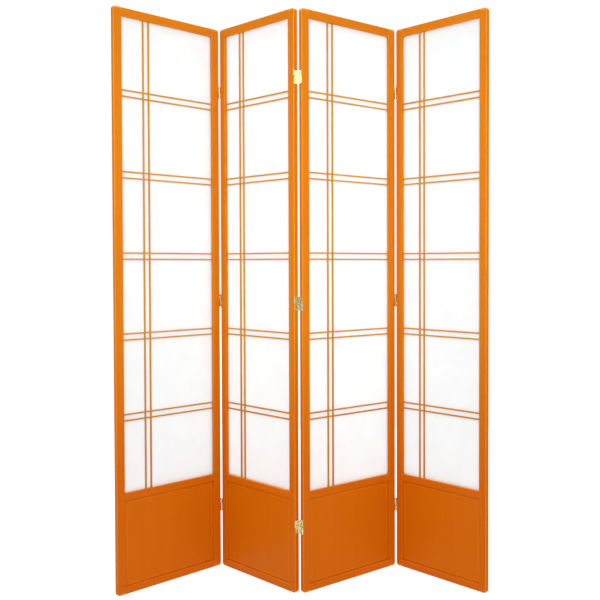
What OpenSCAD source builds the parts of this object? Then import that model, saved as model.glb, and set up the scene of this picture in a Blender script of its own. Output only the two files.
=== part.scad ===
// Free-standing shoji screen of four panels, joined edge to edge by two-way hinges.
// Millimetres, +Z up, feet on Z = 0, seen from the front along +Y.
// Each panel is drawn flat in its own place: X from its left edge, Y from its front face, Z from
// the floor. It is then turned about the hinges into the zigzag in which the screen stands.

/* [Screen] */
// Height of every panel
panel_h = 2134; // [1700:1:2400]
// Width of every panel
panel_w = 438; // [360:1:600]
// Thickness of the frames
panel_t = 19; // [19:0.5:24]
// Gap between the edges of neighbouring panels
panel_gap = 6; // [6:0.5:9]
// Fold between panels 1 and 2 as the screen stands, counted from flat
fold_12 = 86.9; // [40:0.1:120]
// Fold between panels 2 and 3 as the screen stands, counted from flat
fold_23 = 81.3; // [40:0.1:120]
// Fold between panels 3 and 4 as the screen stands, counted from flat
fold_34 = 81.8; // [40:0.1:120]

/* [Frame] */
// Face width of the stiles
stile_w = 31; // [30:0.5:45]
// Height of the top rail
top_rail_h = 31; // [26:0.5:50]
// Height of the mid rail under the paper
mid_rail_h = 26; // [26:0.5:50]
// Height of the bottom rail
bottom_rail_h = 25; // [24:0.5:60]
// Underside of the mid rail, from the floor
mid_rail_z = 344; // [200:1:500]
// Rounding of the long outer edges
edge_r = 2.5; // [1:0.1:3]
// Rounding of the four corners of a frame
corner_r = 9; // [4:0.5:14]
// Length of the rails' tenons
tenon_l = 22; // [15:0.5:24]
// Thickness of the tenons
tenon_t = 7; // [5:0.5:8]
// Shoulder above and below a tenon
tenon_shoulder = 7; // [7:0.5:8]

/* [Lattice] */
// Width of a lattice slat's face
slat_w = 5; // [4:0.5:8]
// Depth of a lattice slat
slat_d = 6; // [4:0.5:7]
// How far the lattice lies behind the frame's face
lattice_setback = 4; // [2:0.5:5]
// Number of pairs of cross bars
bar_pairs = 5; // [3:1:8]
// Distance between the bars of a pair, centre to centre
bar_spacing = 22.6; // [14:0.1:40]
// How much lower the top and bottom cells are than the others
end_cell_trim = 5.6; // [0:0.1:20]
// First upright's centre, from the panel's left edge
upright_x = 117.5; // [70:0.5:160]
// Distance between the two uprights, centre to centre
upright_spacing = 21.8; // [14:0.1:40]
// How deep the slats' ends are let into the frame
slat_housing = 4; // [2:0.5:5]

/* [Paper and kick panel] */
// Thickness of the paper
paper_t = 0.5; // [0.3:0.1:1]
// Width of the rebate that holds the paper and its stops
rebate_w = 6; // [4:0.5:6.5]
// Depth of the stops that hold the paper in
stop_d = 6; // [4:0.5:8]
// Thickness of the kick panel's edge
kick_t = 6; // [4:0.5:7]
// Depth of the grooves that hold the kick panel
groove_d = 6; // [4:0.5:6.5]
// Width of the bevel round the kick panel's field
bevel_w = 12; // [6:0.5:25]
// Height of the kick panel's field above its edge
field_rise = 2; // [1:0.1:3]

/* [Hinges] */
// Height of the hinges, end to end
hinge_h = 50; // [40:1:70]
// Centre of the low hinge, as a share of the panel's height
hinge_low = 0.114; // [0.07:0.001:0.15]
// Centre of the middle hinge, as a share of the panel's height
hinge_middle = 0.498; // [0.4:0.001:0.6]
// Centre of the high hinge, as a share of the panel's height
hinge_high = 0.884; // [0.85:0.001:0.93]
// Thickness of the leaves and links
leaf_t = 1.2; // [1:0.1:1.2]
// Radius of the pins
pin_r = 1.2; // [1:0.1:1.4]
// How far the pins' axes stand out from the panel's faces
axis_proud = 0.5; // [0.3:0.1:1]
// Radius of the screws' shanks
screw_r = 1.1; // [0.8:0.1:1.4]
// Radius of the screws' heads
screw_head_r = 2.3; // [1.8:0.1:2.8]
// Length of the screws
screw_l = 14; // [10:1:20]

/* [Fits] */
// Play of tenons, boards and slats in their mortises, grooves and housings
wood_fit = 0.1; // [0.05:0.01:0.3]
// Room left for the kick panel at the bottom of its grooves
board_room = 1; // [0.5:0.1:2]
// Radial play of a pin in its knuckles
pin_fit = 0.05; // [0.02:0.01:0.1]
// Play between the ends of neighbouring knuckles
knuckle_fit = 0.3; // [0.2:0.05:0.5]
// Clearance round a turning knuckle
swing_fit = 0.4; // [0.3:0.05:0.6]

/* [Hidden] */
$fn = 64;

PANELS = [1, 2, 3, 4];
JUNCTIONS = [1, 2, 3];
PANEL_PARTS = [
    "stile_left", "stile_right", "top_rail", "mid_rail", "bottom_rail", "kick_panel",
    "lattice_uprights", "lattice_bars", "paper", "paper_stops", "hinge_pins", "hinge_screws"
];
HINGE_PARTS = ["hinge_leaf_left", "hinge_leaf_right", "hinge_link_upper", "hinge_link_lower"];

honey_wood = [0.85, 0.45, 0.10];
pale_paper = [0.97, 0.97, 0.95];
polished_brass = [0.86, 0.74, 0.36];
bright_steel = [0.75, 0.72, 0.60];

// How far a cutter runs past the face it opens, and a strap into the plate it joins
past = 1;

// The paper's opening and the lattice in it
opening_z = mid_rail_z + mid_rail_h;
opening_h = panel_h - top_rail_h - opening_z;
opening_w = panel_w - 2 * stile_w;
lattice_y = lattice_setback;
paper_y = lattice_y + slat_d;
pair_h = bar_spacing + slat_w;
cell_h = (opening_h + 2 * end_cell_trim - bar_pairs * pair_h) / (bar_pairs + 1);
first_pair_z = opening_z + cell_h - end_cell_trim + slat_w / 2;
bar_z = [
    for (pair = [0 : bar_pairs - 1]) for (step = [0, bar_spacing])
        first_pair_z + pair * (cell_h + pair_h) + step
];
slat_x = [upright_x, upright_x + upright_spacing];

// The boards and tenons lie on the frame's middle plane
tenon_y = (panel_t - tenon_t) / 2;
kick_y = (panel_t - kick_t + field_rise) / 2;
kick_h = mid_rail_z - bottom_rail_h;
board_reach = groove_d - board_room;

// The hinges: a leaf on each edge and two links between them, one above the other
hinge_z = [hinge_low * panel_h, hinge_middle * panel_h, hinge_high * panel_h];
half_h = (hinge_h - 2 * knuckle_fit) / 2;
half_z = [-(half_h + knuckle_fit * 2) / 2, (half_h + knuckle_fit * 2) / 2];
knuckle_r = panel_gap / 2 - swing_fit;
link_knuckle_h = half_h / 3;
leaf_knuckle_h = (half_h - link_knuckle_h) / 2 - knuckle_fit;
leaf_knuckle_z = (link_knuckle_h + leaf_knuckle_h) / 2 + knuckle_fit;
bore_r = pin_r + pin_fit;
leaf_inset = edge_r + wood_fit;
front_axis_y = -axis_proud;
back_axis_y = panel_t + axis_proud;
screw_z = [-half_h / 2, half_h / 2];
slot_w = 0.6;

// The zigzag: how far each panel is turned from the first, and where its front left corner is.
// Panels 1 and 2 fold about the pins on their front faces, and so do 3 and 4. Panels 2 and 3
// fold about the pins on their back faces.
turn = [0, -fold_12, fold_23 - fold_12, fold_23 - fold_12 - fold_34];
fold_axis_y = [front_axis_y, back_axis_y, front_axis_y];

function turned(v, a) = [v.x * cos(a) - v.y * sin(a), v.x * sin(a) + v.y * cos(a)];
function axis_at(j) = corner_at(j) + turned([panel_w + panel_gap / 2, fold_axis_y[j - 1]], turn[j - 1]);
function corner_at(n) = n == 1
    ? [0, 0]
    : axis_at(n - 1) - turned([-panel_gap / 2, fold_axis_y[n - 2]], turn[n - 1]);

// The screen's two free edges stand on one line along X, and its footprint is centred on the origin
free_edge = corner_at(4) + turned([panel_w, 0], turn[3]);
lead = -atan2(free_edge.y, free_edge.x);
footprint = [
    for (n = PANELS) for (x = [0, panel_w]) for (y = [0, panel_t])
        turned(corner_at(n) + turned([x, y], turn[n - 1]), lead)
];
footprint_x = [for (p = footprint) p.x];
footprint_y = [for (p = footprint) p.y];
centre = [
    (min(footprint_x) + max(footprint_x)) / 2,
    (min(footprint_y) + max(footprint_y)) / 2
];
function place(v) = turned(v, lead) - centre;
fold_axes = [for (j = JUNCTIONS) place(axis_at(j))];

// Stands its children in panel n's place in the zigzag
module on_panel(n) {
    translate(concat(place(corner_at(n)), 0))
        rotate(turn[n - 1] + lead)
            children();
}

// Puts its children in the gap to the right of a panel, at the height of each hinge
module in_right_gap() {
    for (z = hinge_z)
        translate([panel_w + panel_gap / 2, 0, z])
            children();
}

// Puts its children in the gap to the left of a panel, at the height of each hinge
module in_left_gap() {
    for (z = hinge_z)
        translate([-panel_gap / 2, 0, z])
            children();
}

// Turns a left leaf's parts half a turn about the hinge's middle, which makes them a right leaf's
module swapped() {
    translate([0, panel_t, 0])
        rotate(180)
            children();
}

// What is cut off a square corner at the origin to round it
module corner_cut(r) {
    difference() {
        translate([-past, -past])
            square(r + past);
        translate([r, r])
            circle(r);
    }
}

// A stile in plan, its outer edge on the left
module stile_plan() {
    difference() {
        square([stile_w, panel_t]);
        corner_cut(edge_r);
        translate([0, panel_t])
            mirror([0, 1])
                corner_cut(edge_r);
    }
}

// A stile from the front, its outer edge on the left
module stile_front() {
    difference() {
        square([stile_w, panel_h]);
        corner_cut(corner_r);
        translate([0, panel_h])
            mirror([0, 1])
                corner_cut(corner_r);
    }
}

// A frame from the side, with the long edges of its top rounded
module frame_side(h) {
    difference() {
        square([panel_t, h]);
        translate([0, h])
            mirror([0, 1])
                corner_cut(edge_r);
        translate([panel_t, h])
            rotate(180)
                corner_cut(edge_r);
    }
}

module stile_blank() {
    intersection() {
        linear_extrude(panel_h)
            stile_plan();
        translate([0, panel_t, 0])
            rotate([90, 0, 0])
                linear_extrude(panel_t)
                    stile_front();
        rotate([90, 0, 90])
            linear_extrude(stile_w)
                frame_side(panel_h);
    }
}

// A mortise in a stile for the tenon of a rail of height h that stands at z
module mortise(z, h) {
    translate([stile_w - tenon_l - wood_fit, tenon_y - wood_fit, z + tenon_shoulder - wood_fit])
        cube([tenon_l + wood_fit + past, tenon_t + 2 * wood_fit, h - 2 * tenon_shoulder + 2 * wood_fit]);
}

// The groove along a kick panel's edge: h long, opening on +X at x
module kick_groove(x, z, h) {
    translate([x - groove_d, kick_y - wood_fit, z])
        cube([groove_d + past, kick_t + 2 * wood_fit, h]);
}

// A slat's end housing, with the slat running along X
module bar_housing(x, z) {
    translate([x - slat_housing - wood_fit, lattice_y, z - slat_w / 2 - wood_fit])
        cube([slat_housing + wood_fit + past, slat_d + wood_fit, slat_w + 2 * wood_fit]);
}

// The hole that a hinge screw's shank bites in, into an edge on the left
module pilot_holes() {
    in_left_gap()
        for (z = screw_z)
            translate([panel_gap / 2 - past, panel_t / 2, z])
                rotate([0, 90, 0])
                    cylinder(r = screw_r + pin_fit, h = screw_l + past);
}

// A stile with its outer edge on the left, with pilot holes if hinges sit on that edge
module stile(hinged) {
    difference() {
        stile_blank();
        mortise(0, bottom_rail_h);
        mortise(mid_rail_z, mid_rail_h);
        mortise(panel_h - top_rail_h, top_rail_h);
        kick_groove(stile_w, bottom_rail_h - groove_d, kick_h + 2 * groove_d);
        translate([stile_w - rebate_w, paper_y, opening_z - rebate_w])
            cube([rebate_w + past, panel_t, opening_h + 2 * rebate_w]);
        for (z = bar_z)
            bar_housing(stile_w, z);
        if (hinged)
            pilot_holes();
    }
}

module stile_left(n) {
    color(honey_wood)
        stile(n > PANELS[0]);
}

module stile_right(n) {
    color(honey_wood)
        translate([panel_w, 0, 0])
            mirror([1, 0, 0])
                stile(n < len(PANELS));
}

// The tenons of a rail of height h, at its own foot
module tenons(h) {
    translate([stile_w - tenon_l, tenon_y, tenon_shoulder])
        cube([opening_w + 2 * tenon_l, tenon_t, h - 2 * tenon_shoulder]);
}

// Grooves and housings along a rail, cut up from its underside or down from its top at z
module rail_kick_groove(z) {
    translate([stile_w - past, kick_y - wood_fit, z])
        cube([opening_w + 2 * past, kick_t + 2 * wood_fit, groove_d + past]);
}

module rail_rebate(z) {
    translate([stile_w - past, paper_y, z])
        cube([opening_w + 2 * past, panel_t, rebate_w + past]);
}

module rail_housings(z) {
    for (x = slat_x)
        translate([x - slat_w / 2 - wood_fit, lattice_y, z])
            cube([slat_w + 2 * wood_fit, slat_d + wood_fit, slat_housing + wood_fit + past]);
}

module top_rail() {
    color(honey_wood)
        translate([0, 0, panel_h - top_rail_h])
            difference() {
                union() {
                    translate([stile_w, 0, 0])
                        rotate([90, 0, 90])
                            linear_extrude(opening_w)
                                frame_side(top_rail_h);
                    tenons(top_rail_h);
                }
                rail_rebate(-past);
                rail_housings(-past);
            }
}

module mid_rail() {
    color(honey_wood)
        translate([0, 0, mid_rail_z])
            difference() {
                union() {
                    translate([stile_w, 0, 0])
                        cube([opening_w, panel_t, mid_rail_h]);
                    tenons(mid_rail_h);
                }
                rail_kick_groove(-past);
                rail_rebate(mid_rail_h - rebate_w);
                rail_housings(mid_rail_h - slat_housing - wood_fit);
            }
}

module bottom_rail() {
    color(honey_wood)
        difference() {
            union() {
                translate([stile_w, 0, 0])
                    cube([opening_w, panel_t, bottom_rail_h]);
                tenons(bottom_rail_h);
            }
            rail_kick_groove(bottom_rail_h - groove_d);
        }
}

// A slab w wide and l long, with its front bevelled along its two long sides
module bevelled_slab(w, l) {
    linear_extrude(l)
        polygon([[0, 0], [bevel_w, -field_rise], [w - bevel_w, -field_rise], [w, 0]]);
}

module kick_panel() {
    color(honey_wood) {
        translate([stile_w - board_reach, kick_y, bottom_rail_h - board_reach])
            cube([opening_w + 2 * board_reach, kick_t, kick_h + 2 * board_reach]);
        translate([stile_w, kick_y, bottom_rail_h])
            intersection() {
                bevelled_slab(opening_w, kick_h);
                translate([opening_w, 0, 0])
                    rotate([0, -90, 0])
                        bevelled_slab(kick_h, opening_w);
            }
    }
}

// The uprights run from the mid rail to the top rail, and are notched at the back for the bars
module lattice_uprights() {
    color(honey_wood)
        for (x = slat_x)
            difference() {
                translate([x - slat_w / 2, lattice_y, opening_z - slat_housing])
                    cube([slat_w, slat_d, opening_h + 2 * slat_housing]);
                for (z = bar_z)
                    translate([x - slat_w / 2 - past, lattice_y + slat_d / 2, z - slat_w / 2 - wood_fit])
                        cube([slat_w + 2 * past, slat_d, slat_w + 2 * wood_fit]);
            }
}

// The bars run from stile to stile, and are notched at the front for the uprights
module lattice_bars() {
    color(honey_wood)
        for (z = bar_z)
            difference() {
                translate([stile_w - slat_housing, lattice_y, z - slat_w / 2])
                    cube([opening_w + 2 * slat_housing, slat_d, slat_w]);
                for (x = slat_x)
                    translate([x - slat_w / 2 - wood_fit, lattice_y - slat_d / 2, z - slat_w / 2 - past])
                        cube([slat_w + 2 * wood_fit, slat_d, slat_w + 2 * past]);
            }
}

module paper() {
    color(pale_paper)
        translate([stile_w - rebate_w + wood_fit, paper_y, opening_z - rebate_w + wood_fit])
            cube([
                opening_w + 2 * (rebate_w - wood_fit),
                paper_t,
                opening_h + 2 * (rebate_w - wood_fit)
            ]);
}

// Two long stops beside the paper and two short ones fitted between them
module paper_stops() {
    stop_w = rebate_w - wood_fit;
    long_l = opening_h + 2 * stop_w;
    short_l = opening_w - 2 * wood_fit;
    color(honey_wood)
        translate([stile_w, paper_y + paper_t, opening_z]) {
            for (x = [-stop_w, opening_w])
                translate([x, 0, -stop_w])
                    cube([stop_w, stop_d, long_l]);
            for (z = [-stop_w, opening_h])
                translate([wood_fit, 0, z])
                    cube([short_l, stop_d, stop_w]);
        }
}

// One barrel of a hinge on the front or back pin's axis, centred on height z
module barrel(y, z, h) {
    translate([0, y, z - h / 2])
        cylinder(r = knuckle_r, h = h);
}

module pin_bore(y, z) {
    translate([0, y, z - half_h / 2 - past])
        cylinder(r = bore_r, h = half_h + 2 * past);
}

// The two barrels of a left leaf in one half of the hinge, with the straps that carry them.
// dy is the way from the pin's axis to the plate: 1 from the front pin, -1 from the back pin
module leaf_knuckles(y, z, dy) {
    strap = leaf_inset + axis_proud + past;
    for (side = [-1, 1]) {
        barrel(y, z + side * leaf_knuckle_z, leaf_knuckle_h);
        translate([
            -panel_gap / 2,
            dy > 0 ? y : y - strap,
            z + side * leaf_knuckle_z - leaf_knuckle_h / 2
        ])
            cube([leaf_t, strap, leaf_knuckle_h]);
    }
}

module screw_head(r) {
    cylinder(r1 = r, r2 = screw_r, h = leaf_t);
}

// A leaf on the edge of the panel to the left of the gap. Its barrels are on the front pin in
// its upper half and on the back pin in its lower half
module leaf() {
    difference() {
        union() {
            translate([-panel_gap / 2, leaf_inset, -hinge_h / 2])
                cube([leaf_t, panel_t - 2 * leaf_inset, hinge_h]);
            leaf_knuckles(front_axis_y, half_z[1], 1);
            leaf_knuckles(back_axis_y, half_z[0], -1);
        }
        pin_bore(front_axis_y, half_z[1]);
        pin_bore(back_axis_y, half_z[0]);
        for (z = screw_z)
            translate([leaf_t - panel_gap / 2, panel_t / 2, z])
                rotate([0, -90, 0])
                    screw_head(screw_head_r + pin_fit);
    }
}

module hinge_leaf_left() {
    color(polished_brass)
        in_right_gap()
            leaf();
}

module hinge_leaf_right() {
    color(polished_brass)
        in_left_gap()
            swapped()
                leaf();
}

// A link: a plate in the middle of the gap with a barrel on the front pin and one on the back
module link(z) {
    difference() {
        union() {
            barrel(front_axis_y, z, link_knuckle_h);
            barrel(back_axis_y, z, link_knuckle_h);
            translate([-leaf_t / 2, front_axis_y, z - link_knuckle_h / 2])
                cube([leaf_t, back_axis_y - front_axis_y, link_knuckle_h]);
            translate([-leaf_t / 2, front_axis_y + knuckle_r + swing_fit, z - half_h / 2])
                cube([leaf_t, back_axis_y - front_axis_y - 2 * (knuckle_r + swing_fit), half_h]);
        }
        pin_bore(front_axis_y, z);
        pin_bore(back_axis_y, z);
    }
}

// A front fold leaves the upper link lying on the panel to the right, and the lower on the left.
// A back fold leaves them the other way round
module on_link_panel(j, upper) {
    on_right = (fold_axis_y[j - 1] == front_axis_y) == upper;
    on_panel(on_right ? j + 1 : j)
        if (on_right)
            in_left_gap()
                children();
        else
            in_right_gap()
                children();
}

module hinge_link_upper(j) {
    color(polished_brass)
        on_link_panel(j, true)
            link(half_z[1]);
}

module hinge_link_lower(j) {
    color(polished_brass)
        on_link_panel(j, false)
            link(half_z[0]);
}

// The pins that a left leaf carries
module leaf_pins() {
    translate([0, front_axis_y, half_z[1] - half_h / 2])
        cylinder(r = pin_r, h = half_h);
    translate([0, back_axis_y, half_z[0] - half_h / 2])
        cylinder(r = pin_r, h = half_h);
}

module hinge_pins(n) {
    color(bright_steel) {
        if (n > PANELS[0])
            in_left_gap()
                swapped()
                    leaf_pins();
        if (n < len(PANELS))
            in_right_gap()
                leaf_pins();
    }
}

// A countersunk screw along -X, its head flush with the face of a left leaf, with a cross slot
module screw() {
    translate([leaf_t - panel_gap / 2, panel_t / 2, 0])
        rotate([0, -90, 0])
            difference() {
                union() {
                    screw_head(screw_head_r);
                    cylinder(r = screw_r, h = screw_l);
                }
                for (a = [0, 90])
                    rotate(a)
                        translate([-screw_r, -slot_w / 2, -past])
                            cube([2 * screw_r, slot_w, past + leaf_t / 2]);
            }
}

module leaf_screws() {
    for (z = screw_z)
        translate([0, 0, z])
            screw();
}

module hinge_screws(n) {
    color(polished_brass) {
        if (n > PANELS[0])
            in_left_gap()
                swapped()
                    leaf_screws();
        if (n < len(PANELS))
            in_right_gap()
                leaf_screws();
    }
}

for (n = PANELS) {
    on_panel(n) stile_left(n);
    on_panel(n) stile_right(n);
    on_panel(n) top_rail();
    on_panel(n) mid_rail();
    on_panel(n) bottom_rail();
    on_panel(n) kick_panel();
    on_panel(n) lattice_uprights();
    on_panel(n) lattice_bars();
    on_panel(n) paper();
    on_panel(n) paper_stops();
    on_panel(n) hinge_pins(n);
    on_panel(n) hinge_screws(n);
}
for (j = JUNCTIONS) {
    on_panel(j) hinge_leaf_left();
    on_panel(j + 1) hinge_leaf_right();
    hinge_link_upper(j);
    hinge_link_lower(j);
}
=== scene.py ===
"""Looks of the folding shoji screen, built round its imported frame. Metres, +Z up.

Every wooden part is a board with rounded edges and its own grain, laid exactly over its CAD solid.
The paper is a sheet with fibres that lets light through. The brass hinges are the CAD's own.
"""
import math
import random

import bmesh
import bpy
import numpy as np
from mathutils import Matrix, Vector


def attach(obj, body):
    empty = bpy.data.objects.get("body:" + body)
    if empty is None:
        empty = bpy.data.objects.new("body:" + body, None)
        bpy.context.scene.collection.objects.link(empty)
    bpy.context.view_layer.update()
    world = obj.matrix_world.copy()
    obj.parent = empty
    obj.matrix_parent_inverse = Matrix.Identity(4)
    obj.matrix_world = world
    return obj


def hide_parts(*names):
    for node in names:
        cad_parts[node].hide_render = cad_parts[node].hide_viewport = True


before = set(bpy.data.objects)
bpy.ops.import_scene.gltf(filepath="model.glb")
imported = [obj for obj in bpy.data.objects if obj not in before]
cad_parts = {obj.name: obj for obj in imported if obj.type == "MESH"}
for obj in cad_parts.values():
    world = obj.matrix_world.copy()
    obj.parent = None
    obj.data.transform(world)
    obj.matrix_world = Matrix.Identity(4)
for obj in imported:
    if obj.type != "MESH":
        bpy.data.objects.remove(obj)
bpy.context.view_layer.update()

MM = 0.001
PANELS = (1, 2, 3, 4)
ALONG, BACK, UP = 0, 1, 2  # a panel's own axes

# When two corner points of a CAD mesh are one: decimals of a metre, and metres
POINT_DECIMALS = 7
SAME_POINT = 1e-6

# Rounding of the boards, as in the CAD where the CAD rounds them
EDGE_R = 2.5 * MM
CORNER_R = 9 * MM
INNER_R = 0.8 * MM  # arrises round the openings
LEDGE_R = 1.6 * MM  # upper arris of the bottom rail
SEAM_R = 0.35 * MM  # where two boards meet
SLAT_R = 0.6 * MM
STOP_R = 0.8 * MM
CROSSING_GAP = 0.15 * MM  # how far a bar's front lies under an upright's where they cross
ARC_STEPS = 5
RING_SPACING = 80 * MM
SHARP_FROM = 40  # degrees between two faces

# The kick panel's field, with a rounding that turns it down into the bevel
BEVEL_W = 12 * MM
FIELD_RISE = 2 * MM
FIELD_R = 1.2 * MM
FIELD_DROP = 0.25 * FIELD_R
FIELD_TURN = 80  # degrees

# The paper: faces across and up, the share of its thickness that it ripples by, and how far each
# panel's sheet is moved on in the pattern
SHEET_COLUMNS = 30
SHEET_ROWS = 130
RIPPLE = 0.35
SHEET_STEP = (3.1, 0, 1.7)

# The camera, from the perspective of the picture
CAMERA_AT = (0.3183, -3.0821, 1.2064)
CAMERA_YAW = 1.11  # degrees to the right of +Y
CAMERA_PITCH = -1.19
CAMERA_ROLL = 0.04
CAMERA_LENS = 48.35  # millimetres, for a sensor as wide as this:
CAMERA_SENSOR = 36
CAMERA_SHIFT = (-0.175, -0.0318)

# Tones of the wood: the stain's light and dark, the growth rings, and a paler tone for worn edges
# and painted highlights
FRAME_TONES = (
    (0.665, 0.196, 0.007), (0.605, 0.162, 0.004), (0.510, 0.120, 0.002), (0.92, 0.365, 0.032)
)
KICK_TONES = (
    (0.650, 0.196, 0.003), (0.610, 0.172, 0.002), (0.550, 0.142, 0.001), (0.88, 0.330, 0.015)
)
# The slats take the frame's stain painted lighter and yellower, for the glow of light coming
# through the paper
SLAT_GLOW_TONES = (
    (0.570, 0.272, 0.020), (0.510, 0.226, 0.013), (0.430, 0.175, 0.008), (0.70, 0.375, 0.045)
)
PORE = (0.30, 0.060, 0.002)
# Painted shade: the wood is darkened towards the foot by this tint and strength, for the lesser
# light there
FOOT_SHADE_TINT = (0.96, 0.665, 0.25)
FOOT_SHADE_STRENGTH = 0.9
FOOT_SHADE_RISE = (1.0, 0.45)  # metres up, where the painted shade starts to darken the wood and where it is darkest

# How much of the paler edge tone, from 0 to 1: a board's rounded ends and the field's arris (worn
# stain and painted highlight), a rail's upper face (painted highlight)
END_WEAR_AND_HIGHLIGHT = 0.8
FIELD_WEAR_AND_HIGHLIGHT = 0.5
LEDGE_HIGHLIGHT = 1.0

# How far from the middle of the figure a board may be cut, each way
LOG_REACH = 40

# Scales of the wood's figure, along the grain and twice across it
DRIFT = (0.9, 9, 9)
STREAKS = (1.4, 60, 60)
RINGS = (2.2, 300, 300)
FIBRES = (45, 1700, 1700)
TICKS = (26, 900, 900)

# The paper's tones, its strands' tone, scale and lie, and the share of light that goes through
PAPER_TONES = ((0.825, 0.840, 0.845), (0.856, 0.868, 0.872))
STRAND_TONE = (0.895, 0.902, 0.902)
STRANDS = (55, 55, 1500)
STRAND_TURNS = (0.3, 1.25, 2.2, 2.9)
LIGHT_THROUGH = (0.42, 0.48)

# Metals: bright tone, tarnished tone, roughness. The pins' steel is plated with brass.
BRASS = ((0.80, 0.74, 0.47), (0.60, 0.49, 0.23), 0.16)
SCREW_BRONZE = ((0.055, 0.040, 0.012), (0.030, 0.020, 0.006), 0.35)
PIN_STEEL = ((0.80, 0.70, 0.44), (0.55, 0.45, 0.25), 0.25)
SCRATCHES = (900, 900, 60)
TARNISH_ROUGHER = 0.16

# The studio's light: what the camera sees behind the screen, and what lights it from each side.
# The sides blend across these reaches of a direction's Y and Z.
BACKDROP = 1.03
ROOM_IN_FRONT = 0.26
ROOM_BEHIND = 0.28
ROOM_ABOVE = 1.05
BEHIND_TO_FRONT = (0.5, -0.9)
LEVEL_TO_ABOVE = (0.35, 0.8)
FLOOR_TONES = ((0.25, 0.25, 0.25), (0.28, 0.28, 0.28))
FLOOR_GLOW = 0.87
FLOOR_SIZE = 60

# Softboxes: name, place, where they aim, size, power in watts, spread in degrees
LIGHTS = (
    ("high_left", (-0.4, -3.2, 2.5), (-0.6, 0, 1.5), (1.2, 0.8), 2.3, 50),
    ("high_right", (1.0, -3.2, 2.5), (0.65, 0, 1.5), (1.2, 0.8), 2.3, 50),
    ("overhead", (0.3, -3.2, 3.6), (0, 0, 0.9), (2.4, 1.6), 42, 180),
    ("behind_paper", (0.0, 2.8, 1.0), (0, 0, 0.9), (3.4, 2.0), 51, 180),
)


# ---------------------------------------------------------------- places

def corners_of(node):
    """A node's corner points in the shared frame, each once."""
    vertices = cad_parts[node].data.vertices
    places = [tuple(round(c, POINT_DECIMALS) for c in v.co) for v in vertices]
    return np.array(sorted(set(places)))


class Panel:
    """One panel's own axes: along its width, towards its back, and up from the floor."""

    def __init__(self, number):
        self.number = number
        self.body = f"panel_{number}"
        flat = corners_of(self.node("paper"))[:, :2]
        spread, ways = np.linalg.eigh(np.cov((flat - flat.mean(axis=0)).T))
        along = ways[:, spread.argmax()]
        along = along * (1 if along[0] > 0 else -1)
        self.axes = np.array([[*along, 0], [-along[1], along[0], 0], [0, 0, 1]])
        self.origin = (corners_of(self.node("stile_left")) @ self.axes.T).min(axis=0)

    def node(self, part):
        return f"{part}_{self.number}"

    def solids(self, part):
        """The box of each separate solid of a node, in the panel's own axes, lowest first."""
        mesh = bmesh.new()
        mesh.from_mesh(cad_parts[self.node(part)].data)
        bmesh.ops.remove_doubles(mesh, verts=mesh.verts, dist=SAME_POINT)
        boxes = []
        waiting = set(mesh.verts)
        while waiting:
            found = [waiting.pop()]
            for vert in found:
                for edge in vert.link_edges:
                    other = edge.other_vert(vert)
                    if other in waiting:
                        waiting.remove(other)
                        found.append(other)
            local = np.array([v.co for v in found]) @ self.axes.T - self.origin
            boxes.append((local.min(axis=0), local.max(axis=0)))
        mesh.free()
        return sorted(boxes, key=lambda box: (round(box[0][UP], 4), round(box[0][ALONG], 4)))

    def to_frame(self, places):
        """Takes points from the panel's own axes to the shared frame."""
        return (np.asarray(places) + self.origin) @ self.axes


# ---------------------------------------------------------------- boards

def round_in(distance, radius):
    """How far a rounded end has drawn in, at this distance from the end."""
    if distance >= radius or radius == 0:
        return 0.0
    return radius - math.sqrt(radius**2 - (radius - distance) ** 2)


def section(low, high, radii):
    """A rectangle with rounded corners: all the way round, each point and how near it is to the
    middle of its corner, from 0 to 1."""
    ring = []
    sides = (
        (low[0], low[1], 1, 1),
        (high[0], low[1], -1, 1),
        (high[0], high[1], -1, -1),
        (low[0], high[1], 1, -1),
    )
    for quarter, ((x, y, to_x, to_y), r) in enumerate(zip(sides, radii)):
        for step in range(ARC_STEPS + 1):
            turn = math.pi * (1 + quarter / 2 + step / ARC_STEPS / 2)
            point = (x + r * (to_x + math.cos(turn)), y + r * (to_y + math.sin(turn)))
            ring.append((point, math.sin(math.pi * step / ARC_STEPS)))
    return ring


def rounding_steps(radius):
    """Distances from a board's end, at which its rounding has rings."""
    turns = [math.pi / 2 * step / ARC_STEPS for step in range(ARC_STEPS + 1)]
    return {radius * (1 - math.sin(turn)) for turn in turns}


def stations(start, stop, length_axis, ends):
    """Where a board's rings stand, each as (place, how far each side has drawn in there, whether
    it is in a rounding)."""
    found = []
    for side, end in enumerate(ends):
        steps = {0.0}
        for radius in set(end):
            if radius:
                steps |= rounding_steps(radius)
        for distance in sorted(steps, reverse=side == 1):
            at = start + distance if side == 0 else stop - distance
            found.append((at, [round_in(distance, r) for r in end], distance < max(end)))
    if length_axis == UP:
        count = int((stop - start) / RING_SPACING)
        between = [start + (stop - start) * (i + 1) / (count + 1) for i in range(count)]
        found += [(at, [0.0] * 3, False) for at in between]
    return sorted(found, key=lambda station: station[0])


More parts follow.
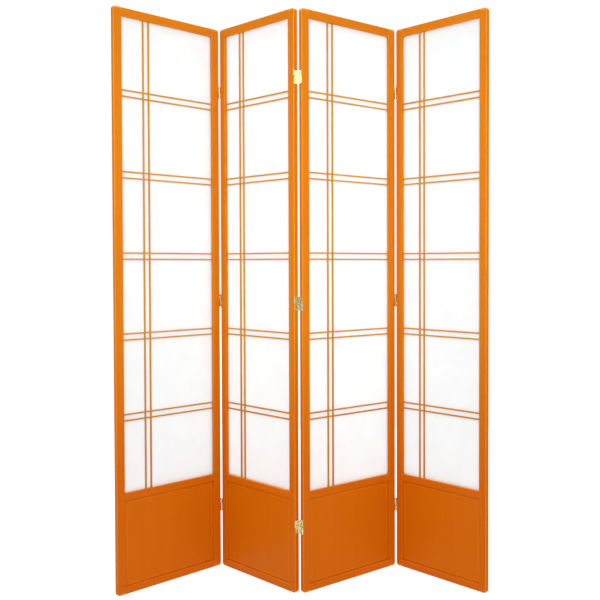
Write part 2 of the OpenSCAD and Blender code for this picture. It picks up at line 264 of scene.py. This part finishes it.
class BoardMesh:
    """Boards of one node, gathered in one mesh, each with its own stretch of grain."""

    def __init__(self, panel, part):
        self.panel, self.part = panel, part
        self.points, self.faces, self.grain, self.edge = [], [], [], []
        self.seeded = random.Random(f"{part} {panel.number}")

    def new_log(self):
        """Where the next board is cut from: far from every other board's wood."""
        return np.array([self.seeded.uniform(-LOG_REACH, LOG_REACH) for _ in range(3)])

    def add_rings(self, rings, grain_axis, edge):
        """Joins rings of points, one after another, into a closed board."""
        first, count, log = len(self.points), len(rings[0]), self.new_log()
        order = [grain_axis, *(axis for axis in (ALONG, BACK, UP) if axis != grain_axis)]
        for ring in rings:
            for point in ring:
                self.points.append(point)
                self.grain.append(np.array(point)[order] + log)
        self.edge += edge
        for row in range(len(rings) - 1):
            base = first + row * count
            for here in range(count):
                near, far = base + here, base + (here + 1) % count
                self.faces.append((near, far, far + count, near + count))
        self.faces.append(tuple(range(first + count - 1, first - 1, -1)))
        self.faces.append(tuple(range(len(self.points) - count, len(self.points))))

    def add_board(self, low, high, length_axis, radii, ends):
        """A board from low to high. radii round its four long edges, counter-clockwise from the
        lowest in the two cross axes. ends gives, for its low and high end, how that end rounds
        against the first cross axis's low and high side and against the second cross axis."""
        a, b = (axis for axis in (ALONG, BACK, UP) if axis != length_axis)
        end_wear_and_highlight = END_WEAR_AND_HIGHLIGHT if max(ends[0] + ends[1]) > 2 * SEAM_R else 0.0
        rings, edge = [], []
        placed_at = stations(low[length_axis], high[length_axis], length_axis, ends)
        for at, (low_in, high_in, other_in), at_end in placed_at:
            nearest = (low[a] + low_in, low[b] + other_in)
            farthest = (high[a] - high_in, high[b] - other_in)
            ring = section(nearest, farthest, radii)
            placed = []
            for (u, v), bend in ring:
                point = [0.0, 0.0, 0.0]
                point[length_axis], point[a], point[b] = at, u, v
                placed.append(point)
                # Each point's share of the paler edge tone: worn stain and painted highlight
                edge.append(max(bend, end_wear_and_highlight if at_end else 0.0))
            rings.append(placed)
        self.add_rings(rings, length_axis, edge)

    def paint_top_highlight(self, top):
        """A rail's upper face and arris, painted lighter as a highlight from the light above."""
        highlight_from = top - LEDGE_R / 2
        for place, point in enumerate(self.points):
            if point[UP] > highlight_from:
                self.edge[place] = LEDGE_HIGHLIGHT

    def finish(self, material):
        """Makes the piece, which rides on its panel and stands for its CAD node."""
        name = self.panel.node(self.part)
        data = bpy.data.meshes.new(f"{name}_wood")
        data.from_pydata([tuple(p) for p in self.panel.to_frame(self.points)], [], self.faces)
        data.update()
        add_attribute(data, "grain", "FLOAT_VECTOR", "vector", np.ravel(self.grain))
        # edge holds each point's share of worn stain and painted highlight
        add_attribute(data, "edge", "FLOAT", "value", self.edge)
        add_attribute(data, "rise", "FLOAT", "value", [point[UP] for point in self.points])
        turn_faces_out(data)
        data.polygons.foreach_set("use_smooth", [True] * len(data.polygons))
        data.set_sharp_from_angle(angle=math.radians(SHARP_FROM))
        data.materials.append(material)
        piece = bpy.data.objects.new(f"{name}_wood", data)
        bpy.context.collection.objects.link(piece)
        weighted = piece.modifiers.new("face_weighted", "WEIGHTED_NORMAL")
        weighted.keep_sharp = True
        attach(piece, self.panel.body)
        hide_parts(name)


def add_attribute(data, name, kind, field, values):
    layer = data.attributes.new(name, kind, "POINT")
    layer.data.foreach_set(field, np.asarray(values, dtype=np.float32))


def turn_faces_out(data):
    mesh = bmesh.new()
    mesh.from_mesh(data)
    bmesh.ops.recalc_face_normals(mesh, faces=mesh.faces)
    mesh.to_mesh(data)
    mesh.free()


# ---------------------------------------------------------------- a panel's parts

def make_stiles(panel, wood):
    """Each stile is rounded on its outer side, and at its outer top and bottom corners."""
    for part, outer_first in (("stile_left", True), ("stile_right", False)):
        low, high = panel.solids(part)[0]
        mesh = BoardMesh(panel, part)
        outer, inner = EDGE_R, INNER_R
        radii = (outer, inner, inner, outer) if outer_first else (inner, outer, outer, inner)
        corner = (CORNER_R, 0.0) if outer_first else (0.0, CORNER_R)
        mesh.add_board(low, high, UP, radii, [(*corner, SEAM_R), (*corner, EDGE_R)])
        mesh.finish(wood)


def make_rails(panel, wood):
    """Rails from stile to stile. The tenons are out of sight and left to the CAD."""
    left = panel.solids("stile_left")[0][1][ALONG]
    right = panel.solids("stile_right")[0][0][ALONG]
    roundings = {
        "top_rail": (INNER_R, INNER_R, EDGE_R, EDGE_R),
        "mid_rail": (INNER_R,) * 4,
        "bottom_rail": (SEAM_R, SEAM_R, INNER_R, LEDGE_R),
    }
    for part, radii in roundings.items():
        low, high = panel.solids(part)[0]
        mesh = BoardMesh(panel, part)
        mesh.add_board((left, *low[1:]), (right, *high[1:]), ALONG, radii, [(SEAM_R,) * 3] * 2)
        # The mid and bottom rails' upper faces are painted lighter as a highlight
        if part != "top_rail":
            mesh.paint_top_highlight(high[UP])
        mesh.finish(wood)


def make_kick_panel(panel, wood):
    """A board whose field stands forward of its edges, with a bevel between the two."""
    low, high = panel.solids("kick_panel")[0]
    left = panel.solids("stile_left")[0][1][ALONG]
    reach = left - low[ALONG]
    edge_y = low[BACK] + FIELD_RISE
    steps = [(high[BACK], 0.0, 0.0), (edge_y, 0.0, 0.0), (edge_y, reach, 0.0)]
    # The field's rounded arris takes the paler edge tone: worn stain and painted highlight
    for step in range(ARC_STEPS + 1):
        turn = math.radians(FIELD_TURN) * step / ARC_STEPS
        draw_in = reach + BEVEL_W - FIELD_R + FIELD_R * math.sin(turn)
        steps.append((low[BACK] + FIELD_DROP * (1 - math.sin(turn)), draw_in, FIELD_WEAR_AND_HIGHLIGHT))
    steps.append((low[BACK], reach + BEVEL_W + FIELD_R, 0.0))
    mesh = BoardMesh(panel, "kick_panel")
    rings, edge = [], []
    for y, inset, wear_and_highlight in steps:
        x0, x1 = low[ALONG] + inset, high[ALONG] - inset
        z0, z1 = low[UP] + inset, high[UP] - inset
        rings.append([(x0, y, z0), (x1, y, z0), (x1, y, z1), (x0, y, z1)])
        edge += [wear_and_highlight] * 4
    mesh.add_rings(rings, UP, edge)
    mesh.finish(wood)


def make_lattice(panel, wood):
    """Uprights in front, and bars that pass just under their faces."""
    uprights = BoardMesh(panel, "lattice_uprights")
    for low, high in panel.solids("lattice_uprights"):
        uprights.add_board(low, high, UP, (SLAT_R,) * 4, [(SEAM_R,) * 3] * 2)
    uprights.finish(wood)
    bars = BoardMesh(panel, "lattice_bars")
    for low, high in panel.solids("lattice_bars"):
        low = (low[ALONG], low[BACK] + CROSSING_GAP, low[UP])
        bars.add_board(low, high, ALONG, (SLAT_R,) * 4, [(SEAM_R,) * 3] * 2)
    bars.finish(wood)


def make_stops(panel, wood):
    """The four strips that hold the paper in from behind."""
    stops = BoardMesh(panel, "paper_stops")
    for low, high in panel.solids("paper_stops"):
        upright = high[UP] - low[UP] > high[ALONG] - low[ALONG]
        stops.add_board(low, high, UP if upright else ALONG, (STOP_R,) * 4, [(SEAM_R,) * 3] * 2)
    stops.finish(wood)


def slow_wave(x, z, number):
    """Two crossing waves a few to the metre, other ones for each panel's number, from -1 to 1."""
    return math.sin(9 * x + 5 * z + number) * math.sin(4 * z - 7 * x + 2 * number)


def make_paper(panel, material):
    """One sheet, taut on its frame, with a slight ripple that stays inside the CAD sheet."""
    low, high = panel.solids("paper")[0]
    middle = (low[BACK] + high[BACK]) / 2
    ripple = (high[BACK] - low[BACK]) * RIPPLE
    points, faces = [], []
    for row in range(SHEET_ROWS + 1):
        for column in range(SHEET_COLUMNS + 1):
            x = low[ALONG] + (high[ALONG] - low[ALONG]) * column / SHEET_COLUMNS
            z = low[UP] + (high[UP] - low[UP]) * row / SHEET_ROWS
            points.append((x, middle + ripple * slow_wave(x, z, panel.number), z))
    for row in range(SHEET_ROWS):
        for column in range(SHEET_COLUMNS):
            start = row * (SHEET_COLUMNS + 1) + column
            above = start + SHEET_COLUMNS + 1
            faces.append((start, start + 1, above + 1, above))
    name = panel.node("paper")
    data = bpy.data.meshes.new(f"{name}_sheet")
    data.from_pydata([tuple(p) for p in panel.to_frame(points)], [], faces)
    data.update()
    shifted = np.array(points) + np.array(SHEET_STEP) * panel.number
    add_attribute(data, "grain", "FLOAT_VECTOR", "vector", np.ravel(shifted))
    data.polygons.foreach_set("use_smooth", [True] * len(data.polygons))
    data.materials.append(material)
    piece = bpy.data.objects.new(f"{name}_sheet", data)
    bpy.context.collection.objects.link(piece)
    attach(piece, panel.body)
    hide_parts(name)


# ---------------------------------------------------------------- materials

class Nodes:
    """A material's node tree, with short calls for the nodes that these materials use."""

    def __init__(self, name):
        self.material = bpy.data.materials.new(name)
        self.material.use_nodes = True
        self.tree = self.material.node_tree
        self.tree.nodes.clear()
        self.output = self.tree.nodes.new("ShaderNodeOutputMaterial")

    def link(self, source, target):
        self.tree.links.new(source, target)

    def set(self, socket, value):
        if isinstance(value, bpy.types.NodeSocket):
            self.link(value, socket)
        else:
            socket.default_value = value

    def attribute(self, name, field):
        node = self.tree.nodes.new("ShaderNodeAttribute")
        node.attribute_name = name
        return node.outputs[field]

    def own_place(self):
        return self.tree.nodes.new("ShaderNodeTexCoord").outputs["Object"]

    def scaled(self, vector, scale, turn=0.0):
        node = self.tree.nodes.new("ShaderNodeMapping")
        self.set(node.inputs["Vector"], vector)
        node.inputs["Rotation"].default_value = (0, turn, 0)
        node.inputs["Scale"].default_value = scale
        return node.outputs["Vector"]

    def noise(self, vector, scale, detail=2.0, roughness=0.5, distortion=0.0):
        node = self.tree.nodes.new("ShaderNodeTexNoise")
        self.set(node.inputs["Vector"], vector)
        node.inputs["Scale"].default_value = scale
        node.inputs["Detail"].default_value = detail
        node.inputs["Roughness"].default_value = roughness
        node.inputs["Distortion"].default_value = distortion
        return node.outputs["Fac"]

    def ramp(self, value, low, high, to_low=0.0, to_high=1.0):
        node = self.tree.nodes.new("ShaderNodeMapRange")
        self.set(node.inputs["Value"], value)
        node.inputs["From Min"].default_value = low
        node.inputs["From Max"].default_value = high
        node.inputs["To Min"].default_value = to_low
        node.inputs["To Max"].default_value = to_high
        return node.outputs["Result"]

    def math(self, kind, one, two):
        node = self.tree.nodes.new("ShaderNodeMath")
        node.operation = kind
        self.set(node.inputs[0], one)
        self.set(node.inputs[1], two)
        return node.outputs[0]

    def blend(self, amount, one, two, kind="MIX"):
        node = self.tree.nodes.new("ShaderNodeMix")
        node.data_type = "RGBA"
        node.blend_type = kind
        self.set(node.inputs["Factor"], amount)
        self.set(node.inputs["A"], one)
        self.set(node.inputs["B"], two)
        return node.outputs["Result"]

    def bump(self, height, strength, distance):
        node = self.tree.nodes.new("ShaderNodeBump")
        self.set(node.inputs["Height"], height)
        node.inputs["Strength"].default_value = strength
        node.inputs["Distance"].default_value = distance
        return node.outputs["Normal"]

    def principled(self, **values):
        node = self.tree.nodes.new("ShaderNodeBsdfPrincipled")
        for name, value in values.items():
            self.set(node.inputs[name.replace("_", " ")], value)
        return node

    def surface(self, shader):
        self.link(shader, self.output.inputs["Surface"])
        return self.material


def colour(red, green, blue):
    return (red, green, blue, 1.0)


def honey_wood(name, tones, figure):
    """Softwood stained honey orange under a satin lacquer. Grain runs along each board, with
    figure giving its strength; the rounded edges are paler, for worn stain and painted highlight,
    and painted shade darkens the wood towards the foot."""
    light, dark, late, worn_and_highlight_tone = tones
    n = Nodes(name)
    grain = n.attribute("grain", "Vector")
    edge = n.attribute("edge", "Fac")
    drift = n.noise(n.scaled(grain, DRIFT), 1.0, detail=2.0)
    streaks = n.noise(n.scaled(grain, STREAKS), 1.0, detail=4.0, roughness=0.6, distortion=0.6)
    rings = n.noise(n.scaled(grain, RINGS), 1.0, detail=3.0, roughness=0.55)
    fibres = n.noise(n.scaled(grain, FIBRES), 1.0, detail=2.0)
    ticks = n.ramp(n.noise(n.scaled(grain, TICKS), 1.0, detail=1.0), 0.66, 0.74)

    soft = 0.2 / figure
    base = n.blend(n.ramp(streaks, 0.5 - soft, 0.5 + soft), colour(*dark), colour(*light))
    base = n.blend(n.ramp(rings, 0.50, 0.70, 0.0, 0.30 * figure), base, colour(*late))
    base = n.blend(n.ramp(drift, 0.40, 0.66, 0.0, 0.60 * figure), base, colour(*dark))
    base = n.blend(n.ramp(fibres, 0.40, 0.75, 0.0, 0.12 * figure), base, colour(*worn_and_highlight_tone))
    base = n.blend(n.math("MULTIPLY", ticks, 0.22 * figure), base, colour(*PORE))
    # Paler tone on the rounded edges and rail tops: partly worn stain, partly painted highlight
    wear_and_highlight = n.math("MULTIPLY", edge, n.ramp(streaks, 0.35, 0.65, 0.35, 0.75))
    base = n.blend(wear_and_highlight, base, colour(*worn_and_highlight_tone))
    # Painted shade: the tone darkens towards the foot, where less light falls
    painted_foot_shade = n.ramp(n.attribute("rise", "Fac"), *FOOT_SHADE_RISE, 0.0, FOOT_SHADE_STRENGTH)
    base = n.blend(painted_foot_shade, base, colour(*FOOT_SHADE_TINT), "MULTIPLY")

    height = n.math("ADD", n.math("MULTIPLY", fibres, 0.5), n.math("MULTIPLY", rings, 0.5))
    height = n.math("SUBTRACT", height, n.math("MULTIPLY", ticks, 0.4))
    shader = n.principled(
        Base_Color=base,
        Roughness=n.ramp(streaks, 0.3, 0.7, 0.52, 0.40),
        Specular_IOR_Level=0.04,
        Coat_Weight=0.03,
        Coat_Roughness=0.20,
        Normal=n.bump(height, 0.20, 0.0004),
    )
    return n.surface(shader.outputs["BSDF"])


def shoji_paper():
    """White shoji paper: cloudy, with long fibres lying every way, and light coming through."""
    n = Nodes("shoji_paper")
    place = n.attribute("grain", "Vector")
    clouds = n.noise(place, 14.0, detail=4.0, roughness=0.55)
    fibres = None
    for turn in STRAND_TURNS:
        strands = n.noise(n.scaled(place, STRANDS, turn), 1.0, detail=1.0, distortion=0.4)
        strands = n.ramp(strands, 0.66, 0.76)
        fibres = strands if fibres is None else n.math("MAXIMUM", fibres, strands)
    cooler, warmer = PAPER_TONES
    white = n.blend(n.ramp(clouds, 0.3, 0.7), colour(*cooler), colour(*warmer))
    white = n.blend(n.math("MULTIPLY", fibres, 0.35), white, colour(*STRAND_TONE))
    height = n.math("ADD", n.math("MULTIPLY", clouds, 0.4), n.math("MULTIPLY", fibres, 0.6))
    normal = n.bump(height, 0.25, 0.0003)
    front = n.principled(
        Base_Color=white,
        Roughness=n.ramp(clouds, 0.3, 0.7, 0.72, 0.85),
        Specular_IOR_Level=0.25,
        Sheen_Weight=0.05,
        Normal=normal,
    )
    through = n.tree.nodes.new("ShaderNodeBsdfTranslucent")
    n.link(white, through.inputs["Color"])
    n.link(normal, through.inputs["Normal"])
    mix = n.tree.nodes.new("ShaderNodeMixShader")
    n.set(mix.inputs[0], n.ramp(clouds, 0.3, 0.7, *LIGHT_THROUGH))
    n.link(front.outputs["BSDF"], mix.inputs[1])
    n.link(through.outputs["BSDF"], mix.inputs[2])
    return n.surface(mix.outputs["Shader"])


def metal(name, bright, dull, rough):
    """Polished plated metal, with faint scratches and a little tarnish."""
    n = Nodes(name)
    place = n.own_place()
    tarnish = n.noise(place, 90.0, detail=4.0, roughness=0.6)
    scratches = n.noise(n.scaled(place, SCRATCHES), 1.0, detail=2.0)
    wear = n.math("ADD", tarnish, scratches)
    tint = n.blend(n.ramp(tarnish, 0.45, 0.75), colour(*bright), colour(*dull))
    shader = n.principled(
        Base_Color=tint,
        Metallic=1.0,
        Roughness=n.ramp(wear, 0.7, 1.3, rough, rough + TARNISH_ROUGHER),
        Normal=n.bump(scratches, 0.12, 0.0001),
    )
    return n.surface(shader.outputs["BSDF"])


def floor_material():
    """A plain pale studio floor, matt, with a barely uneven tone."""
    n = Nodes("studio_floor")
    uneven = n.noise(n.own_place(), 1.3, detail=3.0)
    darker, paler = FLOOR_TONES
    shader = n.principled(
        Base_Color=n.blend(uneven, colour(*darker), colour(*paler)),
        Roughness=0.9,
        Specular_IOR_Level=0.1,
        Emission_Color=colour(1, 1, 1),
        Emission_Strength=FLOOR_GLOW,
    )
    return n.surface(shader.outputs["BSDF"])


# ---------------------------------------------------------------- the studio

def make_floor():
    bpy.ops.mesh.primitive_plane_add(size=FLOOR_SIZE, location=(0, 0, 0))
    floor = bpy.context.object
    floor.name = "studio_floor"
    floor.data.materials.append(floor_material())


def make_light(name, at, target, size, power, spread):
    """A softbox, its spread in degrees: 180 without a grid, less with one."""
    data = bpy.data.lights.new(name, "AREA")
    data.shape = "RECTANGLE"
    data.size, data.size_y = size
    data.energy = power
    data.spread = math.radians(spread)
    light = bpy.data.objects.new(name, data)
    light.location = at
    way = Vector(target) - Vector(at)
    light.rotation_euler = way.to_track_quat("-Z", "Y").to_euler()
    bpy.context.collection.objects.link(light)


def smooth_range(tree, value, reach, result):
    """Goes smoothly from the first result to the second, as value goes across its reach."""
    node = tree.nodes.new("ShaderNodeMapRange")
    node.interpolation_type = "SMOOTHSTEP"
    node.inputs["From Min"].default_value = reach[0]
    node.inputs["From Max"].default_value = reach[1]
    node.inputs["To Min"].default_value = result[0]
    node.inputs["To Max"].default_value = result[1]
    tree.links.new(value, node.inputs["Value"])
    return node.outputs["Result"]


def make_world():
    """A white backdrop, in a room that lights the screen most from above."""
    world = bpy.data.worlds.new("studio")
    world.use_nodes = True
    tree = world.node_tree
    tree.nodes.clear()
    place = tree.nodes.new("ShaderNodeTexCoord")
    split = tree.nodes.new("ShaderNodeSeparateXYZ")
    tree.links.new(place.outputs["Generated"], split.inputs["Vector"])
    front = smooth_range(tree, split.outputs["Y"], BEHIND_TO_FRONT, (ROOM_BEHIND, ROOM_IN_FRONT))
    above = smooth_range(tree, split.outputs["Z"], LEVEL_TO_ABOVE, (0.0, ROOM_ABOVE))
    room = tree.nodes.new("ShaderNodeMath")
    tree.links.new(front, room.inputs[0])
    tree.links.new(above, room.inputs[1])
    rays = tree.nodes.new("ShaderNodeLightPath")
    seen = tree.nodes.new("ShaderNodeMix")
    tree.links.new(rays.outputs["Is Camera Ray"], seen.inputs["Factor"])
    tree.links.new(room.outputs[0], seen.inputs["A"])
    seen.inputs["B"].default_value = BACKDROP
    light = tree.nodes.new("ShaderNodeBackground")
    light.inputs["Color"].default_value = colour(1, 1, 1)
    tree.links.new(seen.outputs["Result"], light.inputs["Strength"])
    out = tree.nodes.new("ShaderNodeOutputWorld")
    tree.links.new(light.outputs["Background"], out.inputs["Surface"])
    bpy.context.scene.world = world


def make_studio():
    make_floor()
    make_world()
    for light in LIGHTS:
        make_light(*light)


def make_camera():
    data = bpy.data.cameras.new("camera")
    data.lens = CAMERA_LENS
    data.sensor_width = CAMERA_SENSOR
    data.shift_x, data.shift_y = CAMERA_SHIFT
    camera = bpy.data.objects.new("camera", data)
    camera.location = CAMERA_AT
    camera.rotation_euler = (
        math.radians(90 + CAMERA_PITCH), math.radians(CAMERA_ROLL), math.radians(-CAMERA_YAW)
    )
    bpy.context.collection.objects.link(camera)
    bpy.context.scene.camera = camera


def dress(node, material):
    """Gives a CAD node a material, in place of its plain one."""
    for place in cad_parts[node].material_slots:
        place.material = material


def dress_hinges(brass, screw, steel):
    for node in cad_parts:
        if node.startswith(("hinge_leaf", "hinge_link")):
            dress(node, brass)
        elif node.startswith("hinge_screws"):
            dress(node, screw)
        elif node.startswith("hinge_pins"):
            dress(node, steel)


def main():
    bpy.context.scene.view_settings.view_transform = "Standard"
    make_camera()
    make_studio()
    wood = honey_wood("honey_wood", FRAME_TONES, figure=1.0)
    board_wood = honey_wood("kick_panel_wood", KICK_TONES, figure=0.45)
    # Slats: the same stain painted lighter and yellower for the paper's glow
    glow_lit_slat_wood = honey_wood("glow_lit_slat_wood", SLAT_GLOW_TONES, figure=0.8)
    paper = shoji_paper()
    brass = metal("hinge_brass", *BRASS)
    screw = metal("screw_bronze", *SCREW_BRONZE)
    steel = metal("pin_steel", *PIN_STEEL)
    for number in PANELS:
        panel = Panel(number)
        make_stiles(panel, wood)
        make_rails(panel, wood)
        make_kick_panel(panel, board_wood)
        make_lattice(panel, glow_lit_slat_wood)
        make_stops(panel, wood)
        make_paper(panel, paper)
    dress_hinges(brass, screw, steel)


main()
